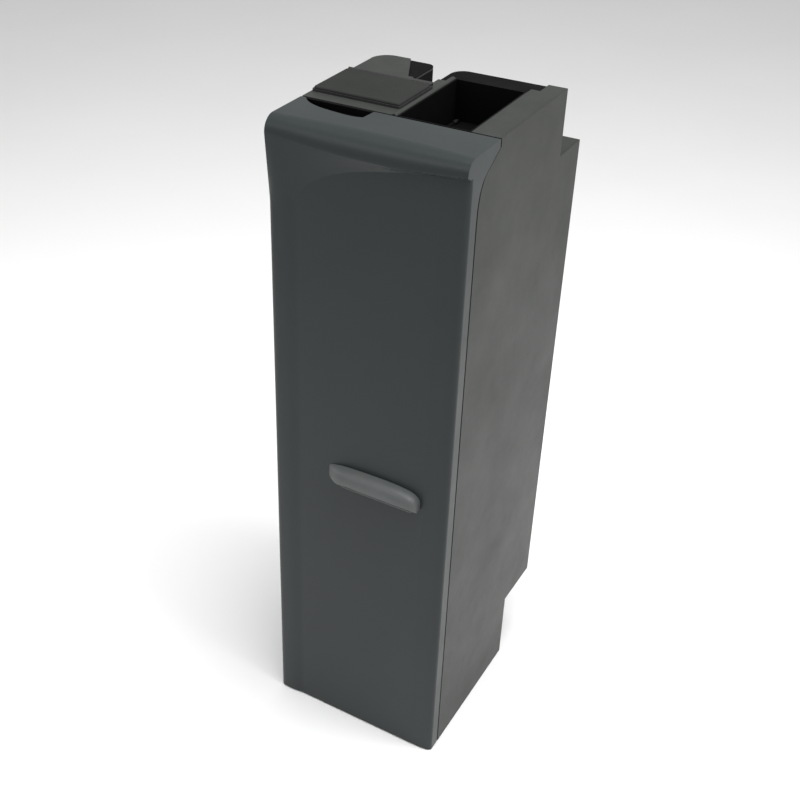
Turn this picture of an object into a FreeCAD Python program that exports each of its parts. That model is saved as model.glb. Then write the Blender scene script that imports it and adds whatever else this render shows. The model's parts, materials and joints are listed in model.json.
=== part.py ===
"""Slim free-standing trash compactor: pull-out drawer and bucket, tilting platen on a twin-screw drive,
top feed chute with a sprung flap, and a lidded bay for the controls and the odour filter.

Units are millimetres. Z is up and the floor is z = 0. The user stands on the -Y side, and +X is the
user's right. The origin is the bottom centre of the bounding box.
"""
import math
import os

import FreeCAD
import Part

os.makedirs("parts", exist_ok=True)

V = FreeCAD.Vector

# ---- driving dimensions --------------------------------------------------------------------------
WIDTH = 280.0                     # over the side panels and the drawer front
DECK_Z = 1000.0                   # top deck
HALF = WIDTH / 2
SHEET = 2.0                       # side panels and rear bulkhead
GRIP_OUT = 19.0                   # how far the grip stands off the front face
FRONT_Y = -169.0                  # flat front face of the drawer front
FRONT_T = 25.0                    # thickness of the drawer front at its edges
SEAM = 3.0                        # gap between drawer front and cabinet
CAB_Y0 = FRONT_Y + FRONT_T + SEAM # front edge of the side panels
UPPER_Y = 116.0                   # rear face above and behind the chamber
LOWER_Y = 94.0                    # rear face below the drive housing
HOUSING_Y = 186.2                 # rear face of the drive housing, screw heads not counted
HOUSING_Z = (122.0, 907.0)        # bottom and top of the drive housing
BODY_Z0 = 1.5                     # lower edge of the side panels; the unit stands on its glides
PAN_Z = 6.0                       # underside of the base pan

CAP_LIP = 6.0                     # overhang of the rounded cap above the flat front
CAP_Z = 972.0                     # underside of that overhang, at the middle of the front
CAP_BAND = 2.0                    # upright band between the rounding of the cap and its lower edge
CAP_REAR_Y = -90.0                # rear edge of the cap's flat top
DECK_Y0 = CAP_REAR_Y + SEAM       # front edge of the top deck

DECK_T = 6.0                              # moulded deck
CORNER_R = 26.0                           # rear left corner of the cabinet, above the drive housing
CHUTE = (-2.0, 100.0, DECK_Y0 - 0.4, 76.0)   # feed opening in the deck: x0, x1, y0, y1; open to the front
CHUTE_Z = 880.0                           # lower edge of the chute liner
NOTCH = (-52.0, -20.0, 46.0)              # relief in the rear edge of the deck: x0, x1, y0
NOTCH_R = (12.0, 20.0)                    # flare of its left and right rear corners
NOTCH_Z = 935.0
BAY = (-134.0, -22.0, -58.0, 19.0)        # bay under the lid, for the controls and the odour filter
BAY_Z = 948.0
LID_Y = -66.0                             # front edge of the lid of the bay
LID_X = (-139.0, -9.6)
LID_T = 2.7
PAD_T = 4.0

BUCKET = (-124.0, 124.0, -143.8, 78.0)    # bucket outside: x0, x1, y0, y1
BUCKET_Z = (28.0, 560.0)
RAIL_Z = (60.0, 104.0)                    # telescopic runners

HINGE_Y = 96.0                            # platen hinge
HINGE_Z = 640.0
PLATEN_HALF = 116.0
PLATEN_Z = (18.0, 212.0)                  # platen above its hinge while folded
ARM_X = 59.0
ARM_W = 8.0
STROKE = 440.0
INLET_X, INLET_Z = -55.0, 160.0           # appliance inlet, low in the rear of the drive housing
SCREW_X = 95.0
SCREW_Y = 152.0
SCREW_R = 6.0
SCREW_PITCH = 5.0
MOTOR_Y = 163.0
FIT = 0.05                                # radial running clearance


# ---- small helpers -------------------------------------------------------------------------------
def box(x0, x1, y0, y1, z0, z1):
    return Part.makeBox(x1 - x0, y1 - y0, z1 - z0, V(x0, y0, z0))


def cyl(x, y, z, r, length, axis=(0, 0, 1)):
    return Part.makeCylinder(r, length, V(x, y, z), V(*axis))


def tube(x, y, z, r_out, r_in, length, axis=(0, 0, 1)):
    return cyl(x, y, z, r_out, length, axis).cut(cyl(x, y, z, r_in, length, axis))


def lines(points):
    """Straight edges from point to point."""
    return [Part.makeLine(a, b) for a, b in zip(points, points[1:])]


def spline(points):
    """Smooth edge through the points."""
    curve = Part.BSplineCurve()
    curve.interpolate(points)
    return curve.toShape()


def face(edges):
    """Face inside a closed run of edges, in any order."""
    return Part.Face(Part.Wire(Part.__sortEdges__(edges)))


def prism_x(points, x0, x1):
    """Straight-sided profile in (y, z), run along X."""
    wire = Part.makePolygon([V(x0, y, z) for y, z in points + points[:1]])
    return Part.Face(wire).extrude(V(x1 - x0, 0, 0))


def fuse(shapes):
    shape = shapes[0]
    return shape.multiFuse(shapes[1:]).removeSplitter() if len(shapes) > 1 else shape


def cut(shape, tools):
    return shape.cut(fuse(tools)) if tools else shape


def both_sides(make):
    """A left and a right copy from make(sign)."""
    return [make(-1), make(1)]


def mirror_x(shape):
    return shape.mirror(V(0, 0, 0), V(1, 0, 0))


def round_edges(shape, radius, wanted):
    """Fillet the edges for which wanted(edge) holds."""
    edges = [edge for edge in shape.Edges if wanted(edge)]
    return shape.makeFillet(radius, edges) if edges else shape


def along(axis):
    """True for straight edges parallel to the axis."""
    def test(edge):
        a, b = edge.Vertexes[0].Point, edge.Vertexes[-1].Point
        size = [abs(b.x - a.x), abs(b.y - a.y), abs(b.z - a.z)]
        return size["xyz".index(axis)] > 1e-3 and sum(size) - size["xyz".index(axis)] < 1e-6
    return test


def export(name, shapes):
    if not isinstance(shapes, list):
        shapes = [shapes]
    solids = [solid for shape in shapes for solid in shape.Solids]
    shape = solids[0] if len(solids) == 1 else Part.makeCompound(solids)
    for solid in solids:
        if not solid.isValid() or solid.Volume <= 0:
            raise RuntimeError(f"{name}: bad solid")
    shape.exportStep(f"parts/{name}.step")


# ---- side seam, shared by the drawer front and the side panels -----------------------------------
def seam_edges(x, offset):
    """The seam from the side: from the deck down to the straight back edge of the drawer front."""
    top = V(x, CAP_REAR_Y + offset, DECK_Z)
    knee = V(x, CAP_REAR_Y + offset, DECK_Z - 11)
    back = FRONT_Y + FRONT_T + offset
    bend = [(40, 19), (26, 27.5), (14.5, 35.5), (6, 49), (1.6, 66), (0, 95)]
    curve = [knee] + [V(x, back + dy, DECK_Z - drop) for dy, drop in bend]
    return [Part.makeLine(top, knee), spline(curve)], curve[-1]


def side_panel(sign):
    """Side sheet: covers the chamber and the drive housing, with a folded front flange."""
    x = sign * (HALF - SHEET)
    seam, low = seam_edges(x, SEAM)
    rear = UPPER_Y if sign > 0 else UPPER_Y - CORNER_R
    outline = [low, V(x, CAB_Y0, BODY_Z0), V(x, LOWER_Y, BODY_Z0), V(x, LOWER_Y, HOUSING_Z[0]),
               V(x, HOUSING_Y, HOUSING_Z[0]), V(x, HOUSING_Y, HOUSING_Z[1]), V(x, rear, HOUSING_Z[1]),
               V(x, rear, DECK_Z), V(x, DECK_Y0, DECK_Z)]
    sheet = face(seam + lines(outline)).extrude(V(sign * SHEET, 0, 0))
    flange = box(HALF - 12, HALF - SHEET, CAB_Y0, CAB_Y0 + 1.5, RAIL_Z[1] + 14, 890)
    return sheet.fuse(flange if sign > 0 else mirror_x(flange)).removeSplitter()


# ---- drawer --------------------------------------------------------------------------------------
def crowned_plan(z0, z1):
    """Plan of the front: flat, with a low ridge near its left edge and its right edge rolled back."""
    back = FRONT_Y + FRONT_T
    ridge = [(-96, 0), (-103, -0.5), (-110, -1.6), (-118, -2.2), (-128, -2.2), (-135, -1.4),
             (-138.6, 0.8), (-HALF, 4.5)]
    roll = [(104, 0), (120, 0.5), (130, 1.5), (136, 3.2), (139, 5.6), (HALF, 9.5)]
    ridge, roll = ([V(x, FRONT_Y + dy, z0) for x, dy in points] for points in (ridge, roll))
    corners = [roll[-1], V(HALF, back, z0), V(-HALF, back, z0), ridge[-1]]
    edges = [Part.makeLine(ridge[0], roll[0]), spline(ridge), spline(roll)] + lines(corners)
    return face(edges).extrude(V(0, 0, z1 - z0))


# Overhang of the cap, station by station: x, height of its lower edge, height over which it fades out,
# and where the fade ends, just behind the face of the drawer front.
CAP_STATIONS = [(-HALF, 978, 150, 5.8), (-130, 978, 145, -0.8), (-118, 977.5, 135, -0.8),
                (-90, 975.5, 90, 1.2), (-50, 973, 46, 1.2), (0, CAP_Z, 22, 1.2), (50, 973, 10, 1.2),
                (95, 976, 5.5, 1.2), (125, 979, 4.5, 1.2), (HALF, 980.5, 4.5, 1.2)]


def cap():
    """Rounded cap whose overhang runs out softly at the left and ends in a crisp lip at the right."""
    lip_y = FRONT_Y - CAP_LIP
    wires = []
    for x, low, fade, end_dy in CAP_STATIONS:
        radius = DECK_Z - low - CAP_BAND
        arc = radius * (1 - math.cos(math.pi / 4))
        rear, crown, front = (V(x, CAP_REAR_Y, DECK_Z), V(x, lip_y + radius, DECK_Z),
                              V(x, lip_y, DECK_Z - radius))
        bend = Part.Arc(crown, V(x, lip_y + arc, DECK_Z - arc), front).toShape()
        under = [V(x, lip_y + (CAP_LIP + end_dy) * out, low - fade * down)
                 for out, down in ((0, 0), (0.14, 0.12), (0.5, 0.4), (0.86, 0.75), (1, 1))]
        front_line = [Part.makeLine(front, under[0]), spline(under)]
        closing = lines([under[-1], V(x, CAP_REAR_Y, low - fade), rear])
        wires.append(Part.Wire([Part.makeLine(rear, crown), bend] + front_line + closing))
    return Part.makeLoft(wires, True).common(before_seam())


def cap_root():
    """Material between the upright front and the curved part of the seam."""
    return box(-HALF, HALF, FRONT_Y + 10, CAP_REAR_Y, DECK_Z - 110, DECK_Z - 15).common(before_seam())


def before_seam():
    """Everything in front of the seam, as wide as the unit."""
    seam, low = seam_edges(-HALF, 0.0)
    corners = [low, V(-HALF, low.y, CAP_Z - 200), V(-HALF, FRONT_Y - 30, CAP_Z - 200),
               V(-HALF, FRONT_Y - 30, DECK_Z), V(-HALF, CAP_REAR_Y, DECK_Z)]
    return face(seam + lines(corners)).extrude(V(WIDTH, 0, 0))


def scoop_tool(grow=0.0, deep=13.0):
    """Finger scoop in the cap's top: a half lens against the seam, long taper to the left."""
    z0, z1 = DECK_Z - deep - grow, DECK_Z + 1
    y1 = CAP_REAR_Y + 1
    points = [V(-133 - grow, y1, z0), V(-122, -101.0 - grow, z0), V(-100, -111.0 - grow, z0),
              V(-70, -116.0 - grow, z0), V(-44, -117.0 - grow, z0), V(-34 + grow, -114.0 - grow * 0.5, z0)]
    edges = [spline(points)] + lines([points[-1], V(-32 + grow, y1, z0), points[0]])
    return face(edges).extrude(V(0, 0, z1 - z0))


def front_panel():
    """Hollow drawer front with its rounded cap: skin about 3 mm, open at the back for the liner."""
    skin = crowned_plan(BODY_Z0 + 1, CAP_Z + 12).fuse(cap()).fuse(cap_root())
    x, inside = HALF - 4, FRONT_Y + 5.5
    hollow = box(-x, x, inside, FRONT_Y + FRONT_T + 0.01, BODY_Z0 + 8, DECK_Z - 60)
    link = box(-x, x, inside, FRONT_Y + FRONT_T - 7, DECK_Z - 61, CAP_Z + 7)
    front, rear = FRONT_Y + 3, CAP_REAR_Y - 34
    cap_hollow = prism_x([(front, CAP_Z + 5), (front, DECK_Z - 12), (FRONT_Y + 14, DECK_Z - 4),
                          (rear, DECK_Z - 3), (rear, CAP_Z + 5)], -x, x)
    return cut(skin, [hollow, cap_hollow, link, scoop_tool(), grip_cup(0.3)])


def scoop_cup():
    """Dark cup under the finger scoop."""
    outer = scoop_tool().common(box(-HALF, 0, -130, CAP_REAR_Y - 0.1, DECK_Z - 14, DECK_Z - 0.6))
    inner = scoop_tool(-1.6, 11.4).common(box(-HALF, 0, -130, CAP_REAR_Y - 1.7, DECK_Z - 14, DECK_Z + 1))
    return outer.cut(inner)


def front_liner():
    """Inner sheet that closes the back of the drawer front."""
    x, back = HALF - 4.5, FRONT_Y + FRONT_T
    return box(-x, x, back - 3, back, BODY_Z0 + 8.5, DECK_Z - 60.5)


# Hood of the grip, section by section: x, how far out, how high.
HOOD = [(-47.0, 2.0, 499.5), (-44.0, 6.0, 501.2), (-37.0, 11.8, 503.4), (-28.0, 16.2, 505.0),
        (-14.0, 18.5, 506.2), (10.0, GRIP_OUT, 507.1), (40.0, GRIP_OUT, 507.5), (66.0, 18.8, 506.6),
        (84.0, 18.0, 504.2), (93.0, 16.4, 500.4), (97.5, 13.6, 495.6), (99.5, 9.5, 489.6)]
HOOD_LOW = 471.0                          # lower edge of the hood where it meets the front
CUP_X, CUP_Z = (-30.0, 88.0), (466.0, 500.0)


def hood(sections, wall):
    """Loft through the sections; a wall > 0 gives the hollow inside a hood of that wall, open below."""
    wires = []
    for x, out, top in sections:
        low = HOOD_LOW + 0.786 * out + max(0.0, -28.0 - x) * 0.5 - wall
        out, top = out - wall, top - wall * 1.2
        high = top - low
        bow = [(0, 0), (0.42, 0.07), (0.78, 0.26), (0.96, 0.56), (1, 0.82)]
        curve = [V(x, FRONT_Y - out * share, top - high * drop) for share, drop in bow]
        corners = [(FRONT_Y - out, low), (FRONT_Y + 0.5, low), (FRONT_Y + 0.5, top)]
        corners = [curve[-1]] + [V(x, y, z) for y, z in corners] + [curve[0]]
        wires.append(Part.Wire([spline(curve)] + lines(corners)))
    return Part.makeLoft(wires, True)


def grip_cup(grow=0.0):
    """Outside of the recess behind the hood."""
    block = box(CUP_X[0] - grow, CUP_X[1] + grow, FRONT_Y - 1, FRONT_Y + 15 + grow,
                CUP_Z[0] - grow, CUP_Z[1] + grow)
    return round_edges(block, 6 + grow, along("y"))


def grip():
    """Hooded pull: a bowed hood open below, with a recessed cup behind it for the fingers."""
    y = FRONT_Y
    shell = hood(HOOD, 0).common(box(-HALF, HALF, y - 30, y, 400, 600)).cut(hood(HOOD[3:10], 3.0))
    cup = grip_cup().common(box(-HALF, HALF, y, y + 16, 400, 600))
    hole = box(CUP_X[0] + 2, CUP_X[1] - 2, y - 0.5, y + 13, CUP_Z[0] + 2, CUP_Z[1] - 2)
    return shell.fuse(cup).cut(round_edges(hole, 4, along("y"))).removeSplitter()


def bucket():
    """Three-sided bin that lifts its bag out over a low rear lip."""
    x0, x1, y0, y1 = BUCKET
    z0, z1 = BUCKET_Z
    t = 2.0
    shell = box(x0, x1, y0, y1, z0, z1).cut(box(x0 + t, x1 - t, y0 + t, y1 + 1, z0 + t, z1 + 1))
    lip = box(x0, x1, y1 - t, y1, z0, z0 + 40)
    rim = [box(x0 - 1.5, x0, y0, y1, z1 - 14, z1), box(x1, x1 + 1.5, y0, y1, z1 - 14, z1)]
    return fuse([shell, lip] + rim)


def bucket_brackets():
    """Angles that screw the bucket to the drawer front."""
    def bracket(z):
        x = BUCKET[1]
        web = box(x, x + 2, BUCKET[2], BUCKET[2] + 40, z, z + 60)
        foot = box(x + 2, x + 10, BUCKET[2], BUCKET[2] + 2, z, z + 60)
        holes = [cyl(x - 1, BUCKET[2] + y, z + h, 2.6, 5, (1, 0, 0)) for y in (14, 30) for h in (15, 45)]
        return cut(web.fuse(foot).removeSplitter(), holes)
    right = [bracket(z) for z in (180, 420)]
    return right + [mirror_x(b) for b in right]


def bracket_screws():
    """Button-head screws through the brackets into the bucket wall."""
    x = BUCKET[1] + 2
    right = [cyl(x, BUCKET[2] + y, z + h, 4.2, 1.8, (1, 0, 0))
             for z in (180, 420) for y in (14, 30) for h in (15, 45)]
    return right + [mirror_x(s) for s in right]


def bag_hooks():
    """Knobs on the outside of the bucket's rim that hold the bag."""
    def hook(x, y, sign):
        stem = cyl(x, y, BUCKET_Z[1] - 24, 2.5, 2.2, (sign, 0, 0))
        return stem.fuse(cyl(x + sign * 2.2, y, BUCKET_Z[1] - 24, 4.5, 1.5, (sign, 0, 0))).removeSplitter()
    return [hook(sign * BUCKET[1], y, sign) for sign in (-1, 1) for y in (-90, 40)]


# ---- telescopic runners --------------------------------------------------------------------------
def rail_channel(x_web, depth, t, z0, z1, y0, y1):
    """C-channel with its web at x_web, opening towards the middle of the cabinet."""
    shell = box(x_web - depth, x_web, y0, y1, z0, z1)
    return shell.cut(box(x_web - depth - 1, x_web - t, y0 - 1, y1 + 1, z0 + t, z1 - t))


def outer_rails():
    right = rail_channel(HALF - SHEET, 10.5, 1.5, RAIL_Z[0], RAIL_Z[1], CAB_Y0 + 3, 86)
    return [right, mirror_x(right)]


def mid_rails():
    right = rail_channel(HALF - SHEET - 1.9, 8.4, 1.4, RAIL_Z[0] + 1.9, RAIL_Z[1] - 1.9, CAB_Y0 + 4, 84)
    return [right, mirror_x(right)]


def inner_rails():
    """Drawer members, screwed to the bucket."""
    z0, z1 = RAIL_Z[0] + 3.7, RAIL_Z[1] - 3.7
    tongue = box(BUCKET[1] + 2, HALF - SHEET - 3.7, CAB_Y0 - 1, 82, z0, z1)
    groove = box(BUCKET[1] + 5, HALF - SHEET - 2, CAB_Y0 - 2, 83, z0 + 6, z1 - 6)
    pad = box(BUCKET[1], BUCKET[1] + 2, CAB_Y0 - 1, 78, z0 + 8, z1 - 8)
    right = tongue.cut(groove).fuse(pad).removeSplitter()
    return [right, mirror_x(right)]


# ---- ram -----------------------------------------------------------------------------------------
def crosshead():
    """Beam in the drive housing that the two screws drive."""
    z = HINGE_Z
    beam = box(-112, 112, 127, 138.9, z - 8, z + 42)
    windows = [box(x - 14, x + 14, 126, 140, z + 6, z + 30) for x in (-28, 28)]
    return round_edges(cut(beam, windows), 4, along("y"))


def ram_arms():
    """Arms through the bulkhead slots, each with a hinge eye."""
    def arm(sign):
        x0, x1 = sorted((sign * (ARM_X - ARM_W / 2), sign * (ARM_X + ARM_W / 2)))
        z = HINGE_Z
        plate = prism_x([(127, z - 8), (127, z + 42), (118, z + 42), (104, z + 10), (HINGE_Y, z + 10),
                         (HINGE_Y, z - 10), (104, z - 10)], x0, x1)
        eye = cyl(x0, HINGE_Y, z, 10, x1 - x0, (1, 0, 0))
        return plate.fuse(eye).removeSplitter().cut(cyl(x0 - 1, HINGE_Y, z, 4 + FIT, 12, (1, 0, 0)))
    return both_sides(arm)


def screw_nuts():
    """Flanged bronze nuts that ride on the screws."""
    def nut(sign):
        z = HINGE_Z
        body = cyl(sign * SCREW_X, SCREW_Y, z - 4, 11, 42)
        flange = box(sign * SCREW_X - 15, sign * SCREW_X + 15, 138.9, SCREW_Y + 15, z - 4, z + 4)
        return body.fuse(flange).removeSplitter().cut(cyl(sign * SCREW_X, SCREW_Y, z - 6, SCREW_R + FIT, 50))
    return both_sides(nut)


def tilt_gearmotor():
    """Self-locking worm gearmotor on the end of the hinge pin."""
    z = HINGE_Z
    case = round_edges(box(64, 88, 83, 111, z - 14, z + 14), 3, along("x"))
    can = cyl(88, HINGE_Y + 1, z, 11, 22, (1, 0, 0))
    return case.fuse(can).removeSplitter().cut(cyl(63, HINGE_Y, z, 4 + FIT, 20, (1, 0, 0)))


def platen():
    """Ribbed pressing plate, folded upright at rest, with hinge knuckles at its lower end."""
    z = HINGE_Z
    z0, z1 = z + PLATEN_Z[0], z + PLATEN_Z[1]
    plate = round_edges(box(-PLATEN_HALF, PLATEN_HALF, 84, 87, z0, z1), 8, along("y"))
    ribs = [box(x - 1.5, x + 1.5, 87, 99, z0 + 4, z1 - 8) for x in (-100, -47, 47, 100)]
    cross = [box(-100, 100, 87, 95, h, h + 3) for h in (z0 + 60, z0 + 120, z1 - 11)]
    knuckles = []
    for sign in (-1, 1):
        x0, x1 = sorted((sign * 40, sign * 54))
        leg = prism_x([(84, z0), (84, z0 + 30), (98, z0 + 30), (HINGE_Y + 8, z), (HINGE_Y - 8, z)], x0, x1)
        knuckles.append(leg.fuse(cyl(x0, HINGE_Y, z, 9, x1 - x0, (1, 0, 0))))
    shape = fuse([plate] + ribs + cross + knuckles)
    return shape.cut(cyl(-60, HINGE_Y, z, 4.02, 120, (1, 0, 0)))


def platen_pin():
    return cyl(-66, HINGE_Y, HINGE_Z, 4, 146, (1, 0, 0))


def power_screw(sign):
    """Power screw with a square-form thread between its plain journals."""
    x = sign * SCREW_X
    lo, hi = 128.0, 704.0
    t0, t1 = 172.0, 686.0
    root, half = SCREW_R - 1.0, SCREW_PITCH / 2
    points = [(0, lo), (5, lo), (5, 150), (SCREW_R, 150), (SCREW_R, t0)]
    z = t0
    while z + SCREW_PITCH <= t1:
        points += [(root, z + 0.3), (root, z + half), (SCREW_R, z + half + 0.3), (SCREW_R, z + SCREW_PITCH)]
        z += SCREW_PITCH
    points += [(SCREW_R, hi - 6), (5, hi - 5), (5, hi), (0, hi)]
    wire = Part.makePolygon([V(x + r, SCREW_Y, h) for r, h in points + points[:1]])
    return Part.Face(wire).revolve(V(x, SCREW_Y, 0), V(0, 0, 1), 360)


PULLEY_R = 16.0
PINION_R = 8.0
PULLEY_Z = (130.0, 143.0)


def toothed_pulley(x, y, r, bore, teeth):
    """Flanged timing pulley."""
    z0, z1 = PULLEY_Z
    body = cyl(x, y, z0, r, z1 - z0)
    flanges = [cyl(x, y, z, r + 2.6, 1.0) for z in (z0 - 1.0, z1)]
    grooves = []
    for i in range(teeth):
        a = 2 * math.pi * i / teeth
        grooves.append(cyl(x + r * math.cos(a), y + r * math.sin(a), z0, 0.9, z1 - z0))
    return cut(body, grooves).multiFuse(flanges).cut(cyl(x, y, z0 - 2, bore, z1 - z0 + 4))


def belt_loop(grow):
    """Outline of the belt run: the outer tangents round the two screw pulleys and the motor pinion."""
    circles = [(-SCREW_X, SCREW_Y, PULLEY_R + grow), (SCREW_X, SCREW_Y, PULLEY_R + grow),
               (0.0, MOTOR_Y, PINION_R + grow)]
    def on(centre, angle):
        x, y, r = centre
        return V(x + r * math.cos(angle), y + r * math.sin(angle), 0)
    ends = []
    for first, second in zip(circles, circles[1:] + circles[:1]):
        dx, dy = second[0] - first[0], second[1] - first[1]
        angle = math.atan2(dy, dx) - math.acos((first[2] - second[2]) / math.hypot(dx, dy))
        ends.append((on(first, angle), on(second, angle), angle))
    edges = []
    for i, (start, end, angle) in enumerate(ends):
        following, centre = ends[(i + 1) % 3], circles[(i + 1) % 3]
        middle = angle + (following[2] - angle) % (2 * math.pi) / 2
        edges += [Part.makeLine(start, end), Part.Arc(end, on(centre, middle), following[0]).toShape()]
    return face(edges)


def drive_belt():
    z0, z1 = PULLEY_Z
    loop = belt_loop(2.2).cut(belt_loop(0.3)).extrude(V(0, 0, z1 - z0 - 1.0))
    loop.translate(V(0, 0, z0 + 0.5))
    return loop


def screw_bearings(z0, z1):
    """Bearing blocks bolted to the bulkhead."""
    def block(sign):
        x = sign * SCREW_X
        body = round_edges(box(x - 17, x + 17, UPPER_Y, SCREW_Y + 15, z0, z1), 5, along("z"))
        return body.cut(cyl(x, SCREW_Y, z0 - 1, SCREW_R + FIT, z1 - z0 + 2))
    return both_sides(block)


def drive_motor():
    """Vertical gearmotor: gearbox below, can above."""
    can = round_edges(cyl(0, MOTOR_Y, 178, 21, 92), 2.5, lambda e: abs(e.BoundBox.ZMin - 270) < 1e-3)
    gearbox = cyl(0, MOTOR_Y, 149.5, 21, 28.5)
    tail = cyl(0, MOTOR_Y, 270, 8, 4)
    return fuse([can, gearbox, tail]).cut(cyl(0, MOTOR_Y, 149, 4 + FIT, 20))


def motor_bracket():
    plate = box(-32, 32, UPPER_Y, 184, 146.5, 149.5)
    web = box(-32, 32, UPPER_Y, UPPER_Y + 3, 149.5, 190)
    return plate.fuse(web).removeSplitter().cut(cyl(0, MOTOR_Y, 146, 6, 4))


def motor_pulley():
    shaft = cyl(0, MOTOR_Y, 127, 4, 40)
    return toothed_pulley(0, MOTOR_Y, PINION_R, 3.9, 14).fuse(shaft).removeSplitter()


# ---- cabinet sheet metal -------------------------------------------------------------------------
def base_pan():
    x, y0, y1 = HALF - SHEET, CAB_Y0 + 1, LOWER_Y - SHEET
    pan = box(-x, x, y0, y1, PAN_Z, PAN_Z + 16)
    return pan.cut(box(-x + 2, x - 2, y0 + 2, y1 - 2, PAN_Z + 2, PAN_Z + 17))


def glides():
    return [cyl(x, y, 0, 15, PAN_Z) for x in (-115, 115) for y in (-112, 70)]


def lower_rear_panel():
    x = HALF - SHEET
    plate = box(-x, x, LOWER_Y - SHEET, LOWER_Y, BODY_Z0, HOUSING_Z[0] - 0.2)
    vents = [box(-90, -20, LOWER_Y - 3, LOWER_Y + 1, z, z + 3) for z in range(36, 96, 9)]
    return cut(plate, vents)


def rear_bulkhead():
    """Sheet between chamber and drive housing; above the housing it is the outer rear face."""
    x, y, z0, z1 = HALF - SHEET, UPPER_Y - SHEET, HOUSING_Z[0] + 2.2, DECK_Z - DECK_T - 0.1
    step, bend_x, bend_y = HOUSING_Z[1] - 2.0, CORNER_R - HALF, UPPER_Y - CORNER_R
    plate = box(-x, x, y, UPPER_Y, z0, z1)
    flanges = [box(-x, 10 - x, y - 10, y, z0, step), box(x - 10, x, y - 10, y, z0, z1)]
    plate = fuse([plate] + flanges).cut(box(-HALF, bend_x, y - 11, UPPER_Y + 1, step, z1 + 1))
    bend = tube(bend_x, bend_y, step, CORNER_R, CORNER_R - SHEET, z1 - step)
    bend = bend.common(box(-HALF, bend_x, bend_y + 0.2, UPPER_Y, HOUSING_Z[1] + 0.2, z1))
    lap = box(-x, 1.6 - x, bend_y - 12, bend_y + 8, HOUSING_Z[1] + 0.2, z1)
    slots = [box(sx * ARM_X - 7, sx * ARM_X + 7, y - 1, UPPER_Y + 1, HINGE_Z - STROKE - 24, HINGE_Z + 56)
             for sx in (-1, 1)]
    return cut(fuse([plate, bend, lap]), slots + [notch_prism(1.3, NOTCH_Z - 1.3, DECK_Z)])


def housing_cover():
    """Folded rear cover of the drive housing with louvre slots."""
    x, (z0, z1) = HALF - SHEET, HOUSING_Z
    t = 1.5
    back = box(-x, x, HOUSING_Y - t, HOUSING_Y, z0, z1)
    top = box(-x, x, UPPER_Y, HOUSING_Y - t, z1 - t, z1)
    bottom = box(-x, x, LOWER_Y - SHEET, HOUSING_Y - t, z0, z0 + t)
    vents = [box(cx - 32, cx + 32, HOUSING_Y - 3, HOUSING_Y + 1, z, z + 3)
             for cx in (-60, 60) for z in list(range(190, 260, 9)) + list(range(790, 860, 9))]
    inlet = box(INLET_X - 15, INLET_X + 15, HOUSING_Y - 3, HOUSING_Y + 1, INLET_Z - 11, INLET_Z + 11)
    holes = [cyl(x, HOUSING_Y - 4, z, 2.0, 6, (0, 1, 0)) for x, z in cover_screw_places()]
    return cut(fuse([back, top, bottom]), vents + holes + [inlet])


def cover_screw_places():
    return [(sx * 128, z) for sx in (-1, 1) for z in (140, 400, 640, 885)]


def cover_screws():
    """Pan-head screws of the rear cover."""
    high, outer = 1.8, HOUSING_Y + 1.8
    def screw(x, z):
        head = cyl(x, HOUSING_Y, z, 4, high, (0, 1, 0))
        head = round_edges(head, 1.0, lambda edge: abs(edge.BoundBox.YMin - outer) < 1e-3)
        return head.fuse(cyl(x, HOUSING_Y - 8, z, 1.9, 8, (0, 1, 0))).removeSplitter()
    return [screw(x, z) for x, z in cover_screw_places()]


def notch_prism(grow, z0, z1):
    """The relief in the rear edge: straight sides that flare out at the rear."""
    x0, x1, y0 = NOTCH[0] - grow, NOTCH[1] + grow, NOTCH[2] - grow
    (left, right), end, c = NOTCH_R, UPPER_Y + 2, math.cos(math.pi / 4)
    cl, cr = NOTCH[0] - left, NOTCH[1] + right
    rl, rr = left - grow, right - grow
    def run(*points):
        return [V(x, y, z0) for x, y in points]
    right_arc = run((x1, UPPER_Y - right), (cr - rr * c, UPPER_Y - right + rr * c), (cr, UPPER_Y - grow))
    left_arc = run((cl, UPPER_Y - grow), (cl + rl * c, UPPER_Y - left + rl * c), (x0, UPPER_Y - left))
    inside = [left_arc[-1]] + run((x0, y0), (x1, y0)) + [right_arc[0]]
    outside = [right_arc[-1]] + run((cr, end), (cl, end)) + [left_arc[0]]
    arcs = [Part.Arc(*points).toShape() for points in (right_arc, left_arc)]
    return face(lines(inside) + lines(outside) + arcs).extrude(V(0, 0, z1 - z0))


def plan_prism(points, z0, z1):
    wire = Part.makePolygon([V(x, y, z0) for x, y in points + points[:1]])
    return Part.Face(wire).extrude(V(0, 0, z1 - z0))


def trim_areas(inset, z0, z1):
    """Sunk areas beside the relief and behind the feed opening."""
    i, end = inset, UPPER_Y + 1 - inset
    right = [(NOTCH[1], 60 + i), (-9.5 - i, 60 + i), (-9.5 - i, CHUTE[3] + i), (CHUTE[1] + 0.5, CHUTE[3] + i),
             (CHUTE[1] + 0.5, 88 + i), (113 - i, 88 + i), (113 - i, end), (NOTCH[1], end)]
    left = [(-92 + i * 1.2, end), (-60 + i * 1.2, 50 + i), (NOTCH[0], 50 + i), (NOTCH[0], end)]
    return [plan_prism(points, z0, z1) for points in (left, right)]


TRIM_Z = DECK_Z - 3.7                     # floor of the sunk areas


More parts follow.
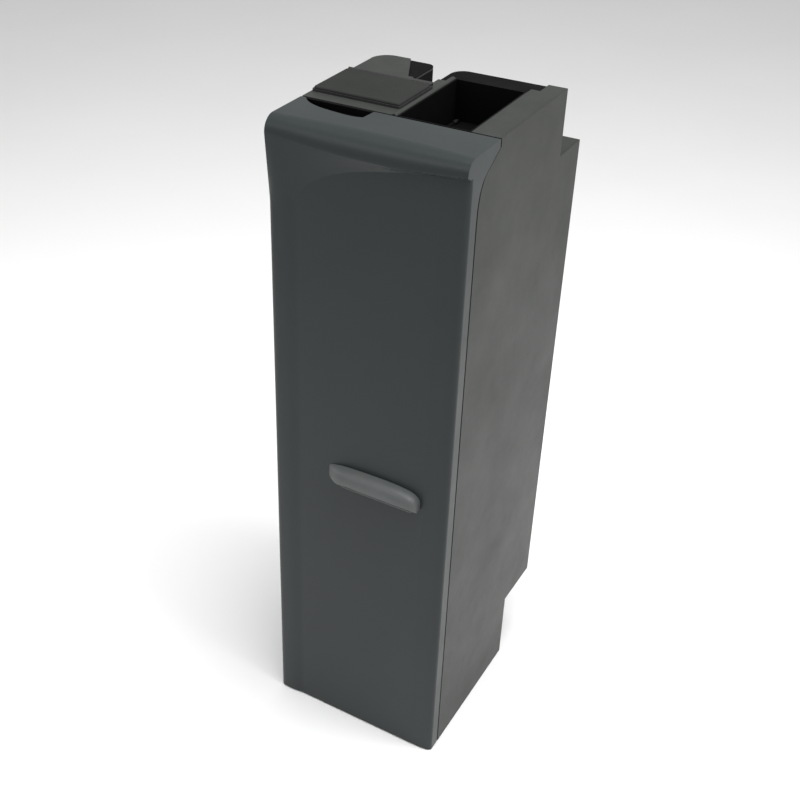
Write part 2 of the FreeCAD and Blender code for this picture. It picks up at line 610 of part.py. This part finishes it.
def top_deck():
    """Moulded deck with a bead along the feed opening and sunk areas for the rear trim."""
    x, z0 = HALF - SHEET, DECK_Z - DECK_T
    deck = box(-x, x, DECK_Y0, UPPER_Y, z0, DECK_Z)
    corner = box(-HALF, CORNER_R - HALF, UPPER_Y - CORNER_R + 0.3, UPPER_Y, z0, DECK_Z)
    disc = cyl(CORNER_R - HALF, UPPER_Y - CORNER_R, z0, CORNER_R, DECK_T)
    deck = deck.cut(corner).fuse(corner.common(disc))
    bead = cyl(-5.8, DECK_Y0, DECK_Z - 2, 3.6, CHUTE[3] - DECK_Y0 - 0.5, (0, 1, 0))
    deck = deck.fuse(bead.common(box(-12, 0, DECK_Y0, UPPER_Y, DECK_Z - 2, DECK_Z + 3))).removeSplitter()
    feed = box(CHUTE[0], CHUTE[1], CHUTE[2] - 1, CHUTE[3], z0 - 1, DECK_Z + 3)
    bay = box(*BAY, z0 - 1, DECK_Z + 1)
    return cut(deck, [feed, bay, notch_prism(0, z0 - 1, DECK_Z + 1)] + trim_areas(0, TRIM_Z, DECK_Z + 3))


def rear_deck_trim():
    """Black trim in the sunk areas."""
    areas = trim_areas(0.15, TRIM_Z + 0.1, DECK_Z - 2.5)
    cabinet = box(-HALF, HALF, 0, UPPER_Y, NOTCH_Z, DECK_Z).cut(notch_prism(0, NOTCH_Z, DECK_Z))
    return [area.common(cabinet) for area in areas]


def notch_liner():
    """Channel that lines the relief in the rear edge."""
    t = 1.2
    outer = notch_prism(t, NOTCH_Z - t, DECK_Z - DECK_T - 0.1)
    outer = outer.common(box(-HALF, HALF, 0, UPPER_Y, NOTCH_Z - t, DECK_Z))
    return outer.cut(notch_prism(0, NOTCH_Z, DECK_Z))


# ---- feed chute ----------------------------------------------------------------------------------
FLAP_X, FLAP_Z = 6.0, 944.0


def chute_liner():
    """Straight black funnel from the deck into the chamber, bored for the flap pin."""
    x0, x1, y0, y1 = CHUTE
    g, t = 0.4, 2.2
    outer = box(x0 + g, x1 - g, y0 + g, y1 - g, CHUTE_Z, DECK_Z - 0.3)
    inner = box(x0 + g + t, x1 - g - t, y0 + g + t, y1 - g - t, CHUTE_Z - 1, DECK_Z)
    return outer.cut(inner).cut(cyl(FLAP_X, y0 - 1, FLAP_Z, 2 + FIT, y1 - y0 + 2, (0, 1, 0)))


def feed_flap():
    y0, y1 = CHUTE[2] + 4, CHUTE[3] - 4
    plate = box(FLAP_X, 95.5, y0, y1, FLAP_Z - 2.5, FLAP_Z)
    barrel = cyl(FLAP_X, y0, FLAP_Z, 3.2, y1 - y0, (0, 1, 0))
    ribs = [box(FLAP_X + 12, 90, y, y + 2, FLAP_Z - 5.5, FLAP_Z - 2.5)
            for y in (y0 + 30, (y0 + y1) / 2, y1 - 32)]
    relief = box(FLAP_X - 5, FLAP_X + 5.5, y1 - 16, y1 + 1, FLAP_Z - 6, FLAP_Z + 5)
    bore = cyl(FLAP_X, y0 - 1, FLAP_Z, 2.02, y1 - y0 + 2, (0, 1, 0))
    return cut(fuse([plate, barrel] + ribs), [relief, bore])


def flap_pin():
    return cyl(FLAP_X, CHUTE[2] + 0.6, FLAP_Z, 2, CHUTE[3] - CHUTE[2] - 1.2, (0, 1, 0))


def flap_spring():
    """Torsion spring round the flap pin."""
    height, wire_r, coil_r = 10.0, 0.55, 3.3
    helix = Part.makeHelix(1.6, height, coil_r)
    start = helix.Edges[0].Vertexes[0].Point
    section = Part.Wire(Part.makeCircle(wire_r, start, V(0, 1, 0)))
    coil = Part.Wire(helix.Edges).makePipeShell([section], True, True)
    coil.rotate(V(0, 0, 0), V(1, 0, 0), -90)
    coil.translate(V(FLAP_X, CHUTE[3] - 4 - 14, FLAP_Z))
    return coil


# ---- lidded bay ----------------------------------------------------------------------------------
LID_PIN = (25.0, DECK_Z + 3.4)            # y, z of the lid's hinge pin
LUGS_X = (-116.0, -39.0)                  # left faces of the two hinge lugs
PANEL_Z = 984.0                           # underside of the control panel in the bay
PANEL_Y1 = -8.0                           # rear edge of the control panel; the filter stands behind it
START = (-106.0, -32.0)                   # x, y of the start button
KEY = (-58.0, -32.0)                      # x, y of the key switch
LAMP = (-82.0, -46.0)                     # x, y of the indicator lamp


def bay_tray():
    """Tray under the lid: a ledge for the control panel, and a slotted floor under the filter."""
    x0, x1, y0, y1 = BAY
    tray = box(x0 + 0.3, x1 - 0.3, y0 + 0.3, y1 - 0.3, BAY_Z, DECK_Z - 0.3)
    tray = tray.cut(box(x0 + 2.3, x1 - 2.3, y0 + 2.3, y1 - 2.3, BAY_Z + 2, DECK_Z))
    rail = box(x0 + 2.3, x1 - 2.3, y0 + 2.3, y0 + 5.3, PANEL_Z - 4, PANEL_Z - 0.2)
    divider = box(x0 + 2.3, x1 - 2.3, PANEL_Y1 - 2, PANEL_Y1, BAY_Z + 2, PANEL_Z - 0.2)
    slots = [box(x0 + 12, x1 - 12, y, y + 3.5, BAY_Z - 1, BAY_Z + 3) for y in range(-4, 12, 8)]
    return cut(fuse([tray, rail, divider]), slots)


def control_panel():
    """Panel in the front of the bay, holed for the button, the key switch and the lamp."""
    x0, x1, y0, _ = BAY
    panel = box(x0 + 2.6, x1 - 2.6, y0 + 2.6, PANEL_Y1, PANEL_Z, PANEL_Z + 2.5)
    holes = [cyl(*place, PANEL_Z - 1, r, 5) for place, r in ((START, 8.3), (KEY, 8.3), (LAMP, 2.1))]
    return cut(panel, holes)


def start_button():
    top = PANEL_Z + 7.0
    cap = cyl(*START, PANEL_Z + 0.5, 8.0, top - PANEL_Z - 0.5)
    cap = round_edges(cap, 1.0, lambda e: abs(e.BoundBox.ZMin - top) < 1e-3)
    return cap.fuse(cyl(*START, PANEL_Z - 8.0, 2.5, 9.0)).removeSplitter()


def start_switch():
    """Switch block under the start button."""
    x, y = START
    block = box(x - 10, x + 10, y - 7, y + 7, PANEL_Z - 26, PANEL_Z - 4)
    return block.cut(cyl(x, y, PANEL_Z - 12, 2.8, 9))


def key_switch():
    """Fixed barrel of the key switch."""
    return tube(*KEY, PANEL_Z - 24, 9.5, 5.1, 23.7)


def key_knob():
    """Turning bow of the key switch."""
    x, y = KEY
    bow = box(x - 1.6, x + 1.6, y - 7, y + 7, PANEL_Z + 3.4, PANEL_Z + 12)
    bow = round_edges(bow, 3.0, lambda e: along("x")(e) and e.BoundBox.ZMin > PANEL_Z + 11)
    return fuse([cyl(x, y, PANEL_Z + 0.4, 8.0, 3.0), bow, cyl(x, y, PANEL_Z - 20, 5.0, 21)])


def indicator_lamp():
    return cyl(*LAMP, PANEL_Z - 6, 2.0, 10).fuse(cyl(*LAMP, PANEL_Z - 3.2, 3.2, 3.0)).removeSplitter()


def filter_cartridge():
    """Frame of the odour filter."""
    x0, x1, _, y1 = BAY
    body = box(x0 + 3, x1 - 3, PANEL_Y1 + 0.5, y1 - 2.8, BAY_Z + 2.2, 994)
    return body.cut(box(x0 + 7, x1 - 7, PANEL_Y1 + 4, y1 - 6, 988, 995))


def filter_media():
    """Carbon felt in the filter frame."""
    x0, x1, _, y1 = BAY
    return box(x0 + 7.3, x1 - 7.3, PANEL_Y1 + 4.3, y1 - 6.3, 988, 992.5)


def lid_lugs():
    """Two hinge lugs on the deck."""
    y, z = LID_PIN
    def lug(x):
        block = box(x, x + 7, y - 3, y + 3, DECK_Z, z).fuse(cyl(x, y, z, 3, 7, (1, 0, 0))).removeSplitter()
        return block.cut(cyl(x - 1, y, z, 1.5 + FIT, 9, (1, 0, 0)))
    return [lug(x) for x in LUGS_X]


def lid_pin():
    return cyl(LID_X[0] + 3, *LID_PIN, 1.5, LID_X[1] - LID_X[0] - 6, (1, 0, 0))


def bay_lid():
    """Lid plate with a locating rim below and a hinge barrel along its rear edge."""
    (x0, x1), y0 = LID_X, LID_Y
    y, z = LID_PIN
    low = DECK_Z + 0.4
    plate = round_edges(box(x0, x1, y0, y, low, low + LID_T), 3, along("z"))
    barrel = cyl(x0 + 2, y, z, 3, x1 - x0 - 4, (1, 0, 0))
    rim = box(BAY[0] + 3, BAY[1] - 3, BAY[2] + 3, BAY[3] - 3, DECK_Z - 2, low)
    rim = rim.cut(box(BAY[0] + 5, BAY[1] - 5, BAY[2] + 5, BAY[3] - 5, DECK_Z - 3, low))
    gaps = [box(x - 0.4, x + 7.4, y - 4.4, y + 5, DECK_Z - 1, DECK_Z + 9) for x in LUGS_X]
    return cut(fuse([plate, barrel, rim]), gaps + [cyl(x0, y, z, 1.52, x1 - x0, (1, 0, 0))])


def lid_pad():
    """Textured mat set on the lid."""
    (x0, x1), y0 = LID_X, LID_Y
    low = DECK_Z + 0.4 + LID_T
    pad = box(x0 + 1.5, x1 - 1.5, y0 + 1.5, LID_PIN[0] - 4.5, low, low + PAD_T)
    pad = round_edges(pad, 2.5, along("z"))
    return round_edges(pad, 1.2, lambda e: e.BoundBox.ZMin > low + PAD_T - 0.1)


# ---- electrics -----------------------------------------------------------------------------------
def control_board():
    """Circuit board on standoffs in the upper housing, with its larger components."""
    y = UPPER_Y
    board = box(-70, 70, y + 8, y + 9.6, 730, 850)
    posts = [cyl(x, y, z, 3, 8, (0, 1, 0)) for x in (-62, 62) for z in (738, 842)]
    relays = [box(x, x + 18, y + 9.6, y + 25, 742, 766) for x in (-56, -32)]
    caps = [cyl(x, y + 9.6, 825, 7, 20, (0, 1, 0)) for x in (20, 40)]
    gaps = [box(x, x + 3, y + 13, y + 29, 744, 776) for x in range(3, 48, 6)]
    sink = cut(box(0, 50, y + 9.6, y + 28, 745, 775), gaps)
    plugs = [box(-60 + i * 22, -44 + i * 22, y + 9.6, y + 18, 800, 810) for i in range(3)]
    return [board] + posts + relays + caps + [sink] + plugs


def power_inlet():
    """Appliance inlet in the drive housing: recessed socket body with three flat pins."""
    x, y, z = INLET_X, HOUSING_Y, INLET_Z
    well = box(x - 12, x + 12, y - 18, y + 3, z - 8, z + 8)
    body = box(x - 14.8, x + 14.8, y - 24, y, z - 10.8, z + 10.8)
    flange = box(x - 23, x + 23, y, y + 1.8, z - 14, z + 14)
    holes = [cyl(x + dx, y - 1, z, 1.7, 4, (0, 1, 0)) for dx in (-19, 19)]
    pins = [box(x + dx - 1, x + dx + 1, y - 18, y - 3, z + dz - 2, z + dz + 2)
            for dx, dz in ((-6, -3), (6, -3), (0, 3))]
    return fuse([cut(fuse([body, flange]), [well] + holes)] + pins)


def magnet_catches():
    """Magnets on the side flanges that hold the drawer shut."""
    right = box(HALF - 12, HALF - SHEET, CAB_Y0 + 1.5, CAB_Y0 + 9.5, 600, 640)
    return [right, mirror_x(right)]


def drawer_switch():
    """Interlock switch under the deck that senses the closed drawer."""
    body = box(-132, -114, CAB_Y0 + 4, CAB_Y0 + 30, 700, 722)
    arm = box(-138, -132, CAB_Y0 + 8, CAB_Y0 + 26, 704, 718)
    plunger = cyl(-123, CAB_Y0 - 2.4, 711, 2.2, 6.4, (0, 1, 0))
    return fuse([body, arm, plunger])


PARTS = {
    "left_side_panel": lambda: side_panel(-1),
    "right_side_panel": lambda: side_panel(1),
    "base_pan": base_pan,
    "floor_glides": glides,
    "lower_rear_panel": lower_rear_panel,
    "rear_bulkhead": rear_bulkhead,
    "drive_housing_cover": housing_cover,
    "housing_cover_screws": cover_screws,
    "top_deck": top_deck,
    "rear_deck_trim": rear_deck_trim,
    "rear_notch_liner": notch_liner,
    "feed_chute_liner": chute_liner,
    "feed_flap": feed_flap,
    "feed_flap_pin": flap_pin,
    "feed_flap_spring": flap_spring,
    "bay_tray": bay_tray,
    "control_panel": control_panel,
    "start_button": start_button,
    "start_switch": start_switch,
    "key_switch": key_switch,
    "key_knob": key_knob,
    "indicator_lamp": indicator_lamp,
    "filter_cartridge": filter_cartridge,
    "filter_media": filter_media,
    "bay_lid": bay_lid,
    "bay_lid_pad": lid_pad,
    "lid_hinge_lugs": lid_lugs,
    "lid_hinge_pin": lid_pin,
    "drawer_front": front_panel,
    "drawer_front_liner": front_liner,
    "finger_scoop_cup": scoop_cup,
    "drawer_grip": grip,
    "bucket": bucket,
    "bucket_brackets": bucket_brackets,
    "bracket_screws": bracket_screws,
    "bag_hooks": bag_hooks,
    "outer_rails": outer_rails,
    "middle_rails": mid_rails,
    "inner_rails": inner_rails,
    "crosshead": crosshead,
    "ram_arms": ram_arms,
    "screw_nuts": screw_nuts,
    "tilt_gearmotor": tilt_gearmotor,
    "platen": platen,
    "platen_pin": platen_pin,
    "left_power_screw": lambda: power_screw(-1),
    "right_power_screw": lambda: power_screw(1),
    "left_screw_pulley": lambda: toothed_pulley(-SCREW_X, SCREW_Y, PULLEY_R, 5.02, 30),
    "right_screw_pulley": lambda: toothed_pulley(SCREW_X, SCREW_Y, PULLEY_R, 5.02, 30),
    "lower_screw_bearings": lambda: screw_bearings(150.5, 166),
    "upper_screw_bearings": lambda: screw_bearings(688, 702),
    "drive_motor": drive_motor,
    "motor_bracket": motor_bracket,
    "motor_pulley": motor_pulley,
    "drive_belt": drive_belt,
    "control_board": control_board,
    "power_inlet": power_inlet,
    "magnet_catches": magnet_catches,
    "drawer_switch": drawer_switch,
}

for name, make in PARTS.items():
    export(name, make())
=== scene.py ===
import json
import math

import bmesh
import bpy
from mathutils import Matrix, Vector, noise


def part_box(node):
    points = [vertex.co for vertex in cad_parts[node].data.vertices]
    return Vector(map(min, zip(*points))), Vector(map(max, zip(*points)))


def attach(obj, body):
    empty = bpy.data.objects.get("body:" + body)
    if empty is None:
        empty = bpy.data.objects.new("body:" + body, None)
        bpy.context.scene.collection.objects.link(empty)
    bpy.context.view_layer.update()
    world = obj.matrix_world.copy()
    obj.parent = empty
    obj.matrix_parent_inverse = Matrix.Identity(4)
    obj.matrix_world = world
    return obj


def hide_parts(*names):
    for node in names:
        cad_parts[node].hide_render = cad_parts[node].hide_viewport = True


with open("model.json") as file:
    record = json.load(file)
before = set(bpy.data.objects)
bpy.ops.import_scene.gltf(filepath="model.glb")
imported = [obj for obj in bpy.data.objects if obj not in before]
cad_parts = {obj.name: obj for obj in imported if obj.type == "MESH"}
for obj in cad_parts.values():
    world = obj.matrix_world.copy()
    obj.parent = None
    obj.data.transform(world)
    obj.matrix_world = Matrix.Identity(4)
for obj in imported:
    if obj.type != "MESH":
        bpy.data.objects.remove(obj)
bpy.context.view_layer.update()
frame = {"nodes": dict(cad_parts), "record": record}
NODES = frame["nodes"]


# ---- materials ---------------------------------------------------------------------------------------------
class Look:
    """A procedural material, built up from small steps."""

    def __init__(self, name, color, rough, metal=0.0, specular=0.5):
        self.material = bpy.data.materials.new(name)
        self.material.use_nodes = True
        self.tree = self.material.node_tree
        self.shader = self.tree.nodes["Principled BSDF"]
        self.color = color
        self.set("Base Color", (*color, 1.0))
        self.set("Roughness", rough)
        self.set("Metallic", metal)
        self.set("Specular IOR Level", specular)
        self.place = self.node("ShaderNodeTexCoord").outputs["Object"]
        self.bumps = []

    def set(self, socket, value):
        self.shader.inputs[socket].default_value = value

    def node(self, kind):
        return self.tree.nodes.new(kind)

    def link(self, a, b):
        self.tree.links.new(a, b)

    def scaled(self, scale):
        """Object coordinates, scaled along each axis."""
        mapping = self.node("ShaderNodeMapping")
        mapping.inputs["Scale"].default_value = scale
        self.link(self.place, mapping.inputs["Vector"])
        return mapping.outputs["Vector"]

    def noise(self, scale, detail=3.0, rough=0.5, stretch=None):
        made = self.node("ShaderNodeTexNoise")
        made.inputs["Scale"].default_value = scale
        made.inputs["Detail"].default_value = detail
        made.inputs["Roughness"].default_value = rough
        self.link(self.scaled(stretch) if stretch else self.place, made.inputs["Vector"])
        return made.outputs["Fac"]

    def ramp(self, source, stops):
        """Colour ramp through (position, grey or colour) stops."""
        made = self.node("ShaderNodeValToRGB")
        while len(made.color_ramp.elements) < len(stops):
            made.color_ramp.elements.new(0.5)
        for element, (at, value) in zip(made.color_ramp.elements, stops):
            element.position = at
            element.color = (*value, 1.0) if isinstance(value, tuple) else (value, value, value, 1.0)
        self.link(source, made.inputs["Fac"])
        return made.outputs["Color"]

    def vary_color(self, source, low, high, at=(0.3, 0.7)):
        """Base colour between two multiples of the material's colour."""
        dark, light = (tuple(min(1.0, channel * k) for channel in self.color) for k in (low, high))
        self.link(self.ramp(source, [(at[0], dark), (at[1], light)]), self.shader.inputs["Base Color"])

    def vary_rough(self, source, low, high, at=(0.3, 0.7)):
        """Roughness between two values."""
        self.link(self.ramp(source, [(at[0], low), (at[1], high)]), self.shader.inputs["Roughness"])

    def bump(self, height, distance, strength):
        """Relief on top of any relief already there."""
        made = self.node("ShaderNodeBump")
        made.inputs["Strength"].default_value = strength
        made.inputs["Distance"].default_value = distance
        self.link(height, made.inputs["Height"])
        if self.bumps:
            self.link(self.bumps[-1], made.inputs["Normal"])
        self.bumps.append(made.outputs["Normal"])
        self.link(made.outputs["Normal"], self.shader.inputs["Normal"])


def paint(name, color, rough, peel=0.00003, specular=0.3):
    """Baked enamel on sheet metal: faint orange peel, slow change of shade, and smudged gloss."""
    look = Look(name, color, rough, specular=specular)
    look.vary_color(look.noise(3.0, 4.0, 0.6), 0.94, 1.06)
    look.vary_rough(look.noise(9.0, 6.0, 0.65), rough - 0.05, rough + 0.06)
    look.bump(look.noise(520.0, 2.0, 0.5), peel, 0.5)
    return look


def plastic(name, color, rough, grain=900.0, depth=0.00004, specular=0.4):
    """Moulded plastic or rubber: fine grain, slow change of shade and gloss."""
    look = Look(name, color, rough, specular=specular)
    look.vary_color(look.noise(14.0, 5.0, 0.6), 0.9, 1.1)
    look.vary_rough(look.noise(30.0, 5.0, 0.6), rough - 0.06, rough + 0.08)
    look.bump(look.noise(grain, 3.0, 0.6), depth, 0.6)
    return look


def metal(name, color, rough, stretch=(1.0, 1.0, 60.0), scale=60.0):
    """Bare metal with drawn or turned grain, or an even one where the stretch is equal on all axes."""
    look = Look(name, color, rough, metal=1.0)
    grain = look.noise(scale, 4.0, 0.6, stretch)
    look.vary_color(grain, 0.88, 1.05)
    look.vary_rough(grain, rough - 0.07, rough + 0.1)
    look.bump(grain, 0.00003, 0.4)
    return look


# Material slot of the record: its look.
LOOKS = {
    "cabinet_paint": paint("cabinet_enamel", (0.0245, 0.0272, 0.0237), 0.42, specular=0.22),
    "front_paint": paint("front_enamel", (0.0225, 0.0276, 0.028), 0.34, specular=0.25),
    "deck_plastic": plastic("deck_moulding", (0.029, 0.031, 0.029), 0.5, specular=0.16),
    "grip_plastic": plastic("grip_moulding", (0.082, 0.088, 0.088), 0.42),
    "black_plastic": plastic("black_moulding", (0.002, 0.002, 0.002), 0.6, specular=0.06),
    "gloss_black": plastic("gloss_panel", (0.010, 0.011, 0.012), 0.18, depth=0.00001),
    "galvanised": metal("zinc_sheet", (0.55, 0.56, 0.57), 0.42, (1.0, 1.0, 1.0), 45.0),
    "screw_steel": metal("turned_steel", (0.42, 0.42, 0.43), 0.3),
    "blackened_steel": metal("blackened_steel", (0.02, 0.02, 0.02), 0.5),
    "fastener_zinc": metal("zinc_fastener", (0.6, 0.6, 0.58), 0.35, (1.0, 1.0, 1.0), 400.0),
    "liner_grey": plastic("grey_liner", (0.32, 0.33, 0.34), 0.5),
    "bucket_steel": paint("bucket_enamel", (0.42, 0.43, 0.43), 0.5),
    "ram_paint": paint("ram_enamel", (0.20, 0.21, 0.22), 0.5, 0.00006),
    "bronze": metal("turned_bronze", (0.55, 0.38, 0.2), 0.35),
    "rubber": plastic("belt_rubber", (0.02, 0.02, 0.02), 0.7),
    "pad_mat": plastic("pad_mat", (0.018, 0.0195, 0.018), 0.75, 1400.0, 0.00015, specular=0.15),
    "lid_plastic": plastic("lid_moulding", (0.022, 0.023, 0.022), 0.5, specular=0.25),
    "carbon": plastic("carbon_felt", (0.015, 0.015, 0.015), 0.9, 500.0, 0.0005),
    "nylon": plastic("nylon", (0.7, 0.69, 0.64), 0.45),
    "aluminium": metal("turned_aluminium", (0.68, 0.68, 0.69), 0.32),
    "motor_can": paint("motor_enamel", (0.06, 0.06, 0.065), 0.45),
    "board_green": plastic("circuit_board", (0.03, 0.16, 0.07), 0.4),
    "button_green": plastic("green_button", (0.02, 0.22, 0.07), 0.3),
    "chrome": metal("chromed", (0.6, 0.6, 0.6), 0.12, (1.0, 1.0, 1.0), 30.0),
    "lamp": plastic("lamp_lens", (0.05, 0.2, 0.06), 0.15),
    "magnet": plastic("magnet", (0.03, 0.03, 0.03), 0.6),
}

slots = {part["node"]: part["material_slot"] for part in frame["record"]["subparts"]}
for name, node in NODES.items():
    node.data.materials.clear()
    node.data.materials.append(LOOKS[slots[name]].material)


# ---- softened edges ----------------------------------------------------------------------------------------
SHARP = math.radians(32)                  # faces at a wider angle than this meet in a visible edge
WELD = 0.00001                            # corners closer than this are one corner


def weld_group(name, smooth):
    """Node group that joins the split corners of a CAD mesh and shades it flat, or smooth up to its edges."""
    group = bpy.data.node_groups.new(name, "GeometryNodeTree")
    group.interface.new_socket("Geometry", in_out="INPUT", socket_type="NodeSocketGeometry")
    group.interface.new_socket("Geometry", in_out="OUTPUT", socket_type="NodeSocketGeometry")
    start, end = group.nodes.new("NodeGroupInput"), group.nodes.new("NodeGroupOutput")
    weld = group.nodes.new("GeometryNodeMergeByDistance")
    weld.inputs["Distance"].default_value = WELD
    shade = group.nodes.new("GeometryNodeSetShadeSmooth")
    shade.inputs["Shade Smooth"].default_value = smooth
    angle = group.nodes.new("GeometryNodeInputMeshEdgeAngle")
    wide = group.nodes.new("FunctionNodeCompare")
    wide.operation, wide.inputs["B"].default_value = "GREATER_THAN", SHARP
    crisp = group.nodes.new("GeometryNodeSetShadeSmooth")
    crisp.domain, crisp.inputs["Shade Smooth"].default_value = "EDGE", False
    group.links.new(angle.outputs["Unsigned Angle"], wide.inputs["A"])
    group.links.new(wide.outputs["Result"], crisp.inputs["Selection"])
    for a, b in ((start, weld), (weld, shade), (shade, crisp), (crisp, end)):
        group.links.new(a.outputs[0], b.inputs[0])
    return group


WELD_CURVED, WELD_FLAT = weld_group("weld_curved", True), weld_group("weld_flat", False)


def soften(obj, width, curved):
    """Small radius on every sharp edge, as moulding and folding leave it. The CAD mesh itself stays as it is."""
    obj.modifiers.new("weld", "NODES").node_group = WELD_CURVED if curved else WELD_FLAT
    if width:
        bevel = obj.modifiers.new("bevel", "BEVEL")
        bevel.width, bevel.segments = width, 2
        bevel.limit_method, bevel.angle_limit = "ANGLE", SHARP
        bevel.use_clamp_overlap, bevel.harden_normals = True, not curved
    if curved:
        normals = obj.modifiers.new("normals", "WEIGHTED_NORMAL")
        normals.keep_sharp, normals.weight = not width, 100


# Radius of the edges, in metres: pieces with flat faces, then pieces with curved ones.
FLAT_EDGES = {"left_side_panel": 0.0006, "right_side_panel": 0.0006, "bay_lid": 0.0006, "rear_deck_trim": 0.0003,
              "bucket": 0.0005, "start_switch": 0.0005, "drawer_switch": 0.0005, "bay_tray": 0.0004,
              "base_pan": 0.0004, "filter_cartridge": 0.0006}
CURVED_EDGES = {"drawer_grip": 0.0007, "top_deck": 0.0009}
for widths, curved in ((FLAT_EDGES, False), (CURVED_EDGES, True)):
    for name, width in widths.items():
        soften(NODES[name], width, curved)


# ---- mat on the lid ----------------------------------------------------------------------------------------
MAT_CELLS = 150, 112                      # faces across and along
MAT_CORNER = 0.0035                       # radius of the corners, seen from above
MAT_BORDER = 0.0022                       # width of the rounded border
MAT_BORDER_FOOT = 0.35                    # share of the thickness at which the border starts
MAT_CROWN = 0.0006                        # rise of the middle
MAT_ROOM = 0.0008                         # kept below the top of the CAD pad for crown and grain
PEBBLES = (1.0, 0.00016), (2.3, 0.0001)   # frequency, as a multiple of the next value, and height
PEBBLE_FREQUENCY = 420                    # per metre


def lid_mat():
    """Moulded mat: crowned top with a pebbled grain, rounded border, closed underneath."""
    low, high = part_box("bay_lid_pad")
    centre, half = (low + high) / 2, (high - low) / 2
    across, along = MAT_CELLS
    mesh = bmesh.new()

    def outline(u, v):
        """Square parameters in -1..1 to a rounded rectangle."""
        x, y = u * half.x, v * half.y
        flat_x, flat_y = half.x - MAT_CORNER, half.y - MAT_CORNER
        dx, dy = abs(x) - flat_x, abs(y) - flat_y
        if dx > 0 and dy > 0:
            reach = max(dx, dy) / math.hypot(dx, dy)
            x, y = math.copysign(flat_x + dx * reach, x), math.copysign(flat_y + dy * reach, y)
        return x, y

    def height(u, v):
        gap = min((1 - abs(u)) * half.x, (1 - abs(v)) * half.y)
        border = math.sqrt(max(0.0, 1 - (1 - min(gap / MAT_BORDER, 1)) ** 2))
        crown = MAT_CROWN * (1 - u * u) * (1 - v * v)
        place = Vector((u * half.x, v * half.y, 0)) * PEBBLE_FREQUENCY
        grain = sum(tall * noise.noise(place * finer) for finer, tall in PEBBLES)
        rise = MAT_BORDER_FOOT + (1 - MAT_BORDER_FOOT) * border
        return low.z + (high.z - low.z - MAT_ROOM) * rise + (crown + grain) * border

    def corner(u, v, z):
        x, y = outline(u, v)
        return mesh.verts.new((centre.x + x, centre.y + y, z))

    def sheet(z):
        """Rows of corners at the height z(u, v)."""
        return [[corner(u, v, z(u, v)) for u in (-1 + 2 * i / across for i in range(across + 1))]
                for v in (-1 + 2 * j / along for j in range(along + 1))]

    def ring(rows):
        """Corners round the outside, in order."""
        right, left = [row[-1] for row in rows[:-1]], [row[0] for row in rows[:0:-1]]
        return rows[0][:-1] + right + rows[-1][:0:-1] + left

    top, under = sheet(height), sheet(lambda u, v: low.z)
    for rows, flip in ((top, False), (under, True)):
        for a, b in zip(rows, rows[1:]):
            for i in range(across):
                face = [a[i], a[i + 1], b[i + 1], b[i]]
                mesh.faces.new(face[::-1] if flip else face)
    upper, lower = ring(top), ring(under)
    for i in range(len(upper)):
        j = (i + 1) % len(upper)
        mesh.faces.new([lower[i], lower[j], upper[j], upper[i]])
    data = bpy.data.meshes.new("lid_mat")
    mesh.to_mesh(data)
    mesh.free()
    data.polygons.foreach_set("use_smooth", [True] * len(data.polygons))
    mat = bpy.data.objects.new("lid_mat", data)
    bpy.context.scene.collection.objects.link(mat)
    mat.data.materials.append(LOOKS["pad_mat"].material)
    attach(mat, "bay_lid")
    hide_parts("bay_lid_pad")


lid_mat()


# ---- stage -------------------------------------------------------------------------------------------------
def add_floor():
    """Plain pale paper, wide enough to reach the horizon."""
    bpy.ops.mesh.primitive_plane_add(size=60, location=(0, 0, 0))
    floor = bpy.context.object
    floor.name = "floor"
    look = Look("floor_paper", (0.9, 0.9, 0.9), 0.9)
    look.vary_color(look.noise(2.0), 0.99, 1.01)
    floor.data.materials.append(look.material)


def add_area(name, at, aim, size, power):
    """White soft box at one place, turned to another."""
    data = bpy.data.lights.new(name, "AREA")
    data.shape, data.size, data.size_y = "RECTANGLE", size[0], size[1]
    data.energy = power
    light = bpy.data.objects.new(name, data)
    light.location = at
    light.rotation_euler = (Vector(aim) - Vector(at)).to_track_quat("-Z", "Y").to_euler()
    bpy.context.scene.collection.objects.link(light)


def add_camera():
    """The photo's view, fitted to the straight edges of the cabinet."""
    data = bpy.data.cameras.new("camera")
    data.lens, data.sensor_width = 54.15, 36.0
    data.shift_x, data.shift_y = 0.0929, 0.0014
    camera = bpy.data.objects.new("camera", data)
    camera.location = (0.6728, -1.3458, 1.5317)
    camera.rotation_euler = (math.radians(90 - 33.8), 0, math.radians(31.7))
    bpy.context.scene.collection.objects.link(camera)
    bpy.context.scene.camera = camera


add_floor()
add_camera()
add_area("key", (1.6, 0.05, 2.1), (0.1, 0.0, 0.85), (1.2, 1.2), 20)
add_area("top", (0.6, -0.1, 3.4), (0, 0.2, 0), (2.2, 2.2), 100)
add_area("left", (-2.2, -0.9, 1.5), (0, -0.1, 0.7), (0.8, 1.6), 12)
add_area("front", (-0.9, -2.2, 2.6), (0, 0, 0.7), (1.2, 1.2), 8)
world = bpy.data.worlds.new("studio")
world.use_nodes = True
sky = world.node_tree.nodes["Background"]
sky.inputs["Color"].default_value = (1, 1, 1, 1)
sky.inputs["Strength"].default_value = 0.5
bpy.context.scene.world = world
bpy.context.scene.view_settings.view_transform = "Standard"
